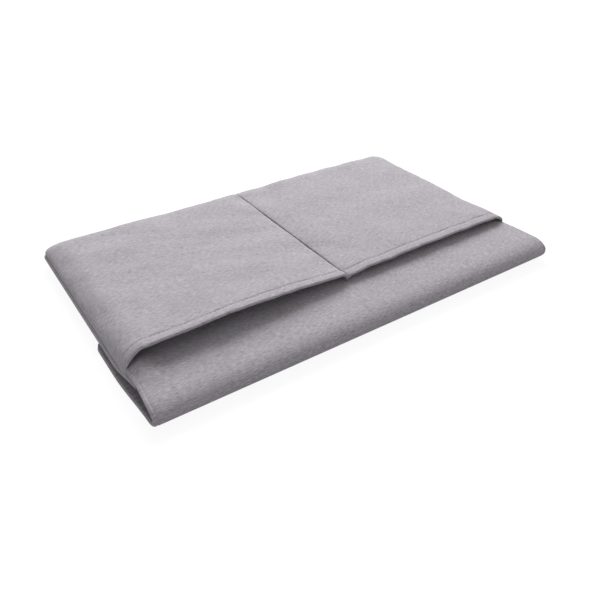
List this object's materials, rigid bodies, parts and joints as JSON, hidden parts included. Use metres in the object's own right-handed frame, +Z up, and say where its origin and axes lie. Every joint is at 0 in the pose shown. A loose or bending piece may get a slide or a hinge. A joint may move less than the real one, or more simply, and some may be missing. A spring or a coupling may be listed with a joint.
{
  "type": "laptop sleeve",
  "caption": "Padded fabric laptop sleeve with a flap that rolls round the front and tucks underneath, and open document pockets on top.",
  "frame": {"origin": "centre of the bounding box on the surface it lies on", "axes": "+X along the width to the right, +Y from the rolled front edge to the back seam, +Z up"},
  "size_m": [0.39, 0.246, 0.0253],
  "materials": {
    "woven_fabric": "matte heather weave",
    "lining_cloth": "brushed lining",
    "foam": "closed-cell foam",
    "thread": "spun thread",
    "binding_tape": "woven tape",
    "magnet": "nickel plated"
  },
  "bodies": {
    "sleeve": {"back_outer_fabric": "woven_fabric", "back_padding": "foam", "back_lining": "lining_cloth", "underside_outer_fabric": "woven_fabric", "underside_padding": "foam", "underside_lining": "lining_cloth", "underside_magnets": "magnet", "left_side_binding": "binding_tape", "right_side_binding": "binding_tape", "back_binding": "binding_tape", "compartment_mouth_binding": "woven_fabric", "compartment_mouth_stitches": "thread", "left_pocket_panel": "woven_fabric", "right_pocket_panel": "woven_fabric", "left_pocket_lining": "lining_cloth", "right_pocket_lining": "lining_cloth", "left_pocket_hem": "woven_fabric", "right_pocket_hem": "woven_fabric", "left_hem_stitches": "thread", "right_hem_stitches": "thread", "pocket_centre_seam": "woven_fabric", "centre_hem_tack": "thread"},
    "roll": {"roll_outer_fabric": "woven_fabric", "roll_padding": "foam", "roll_lining": "lining_cloth"},
    "flap": {"flap_outer_fabric": "woven_fabric", "flap_padding": "foam", "flap_lining": "lining_cloth", "flap_magnets": "magnet"}
  },
  "joints": [
    {"name": "top_fold", "type": "hinge", "parent": "sleeve", "child": "roll", "pos_m": [0, -0.1192, 0.0142], "axis": [-1, 0, 0], "range_deg": [0, 90]},
    {"name": "bottom_fold", "type": "hinge", "parent": "roll", "child": "flap", "pos_m": [0, -0.1192, 0.005], "axis": [-1, 0, 0], "range_deg": [0, 90]}
  ]
}
